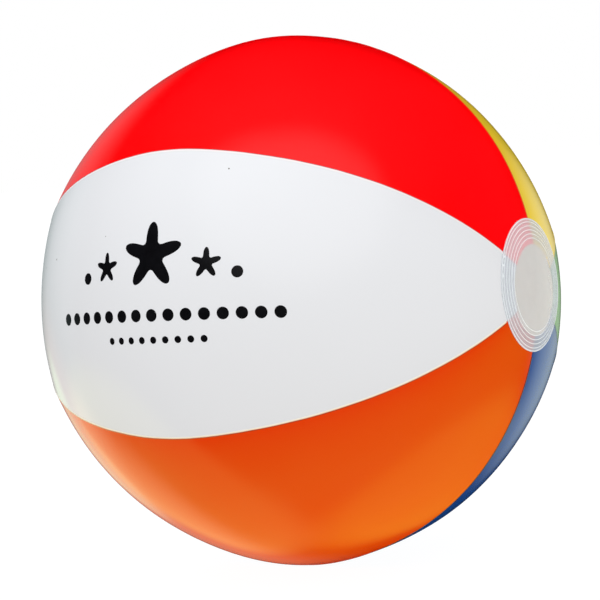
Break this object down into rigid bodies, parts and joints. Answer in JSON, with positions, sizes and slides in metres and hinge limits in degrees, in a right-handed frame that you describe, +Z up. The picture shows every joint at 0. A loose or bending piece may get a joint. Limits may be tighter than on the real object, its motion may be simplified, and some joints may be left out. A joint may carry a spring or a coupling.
{
  "type": "inflatable beach ball",
  "caption": "Inflated vinyl ball of welded coloured panels, with a ribbed clear patch at each pole and a push-in valve with plug, strap and check flap.",
  "frame": {"origin": "centre of the inflated ball", "axes": "+X along the pole axis towards the plain end patch, with the valve at -X; +Z up; the white panel faces -Y"},
  "size_m": [0.3083, 0.305, 0.305],
  "materials": {
    "film_white": "glossy opaque vinyl film",
    "film_red": "glossy opaque vinyl film",
    "film_yellow": "glossy opaque vinyl film",
    "film_green": "glossy opaque vinyl film",
    "film_blue": "glossy opaque vinyl film",
    "film_orange": "glossy opaque vinyl film",
    "film_clear": "glossy milky-clear vinyl film",
    "valve_vinyl": "moulded soft clear vinyl"
  },
  "bodies": {
    "shell": {"panel_white": "film_white", "panel_red": "film_red", "panel_yellow": "film_yellow", "panel_green": "film_green", "panel_blue": "film_blue", "panel_orange": "film_orange", "end_patch": "film_clear", "valve_patch": "film_clear", "valve_base": "valve_vinyl", "valve_skirt": "valve_vinyl"},
    "valve": {"valve_stem": "valve_vinyl"},
    "stopper": {"plug": "valve_vinyl", "plug_strap": "valve_vinyl"},
    "flap": {"check_flap": "valve_vinyl"}
  },
  "joints": [
    {"name": "valve_pull", "type": "slide", "parent": "shell", "child": "valve", "axis": [-1, 0, 0], "range_m": [0, 0.012], "deforming": ["valve_skirt"]},
    {"name": "plug_swing", "type": "hinge", "parent": "valve", "child": "stopper", "pos_m": [-0.1544, 0, 0.008], "axis": [0, 1, 0], "range_deg": [0, 160]},
    {"name": "flap_open", "type": "hinge", "parent": "valve", "child": "flap", "pos_m": [-0.138, 0, 0.0049], "axis": [0, -1, 0], "range_deg": [0, 60], "stiffness_Nm_per_rad": 0.00005}
  ]
}
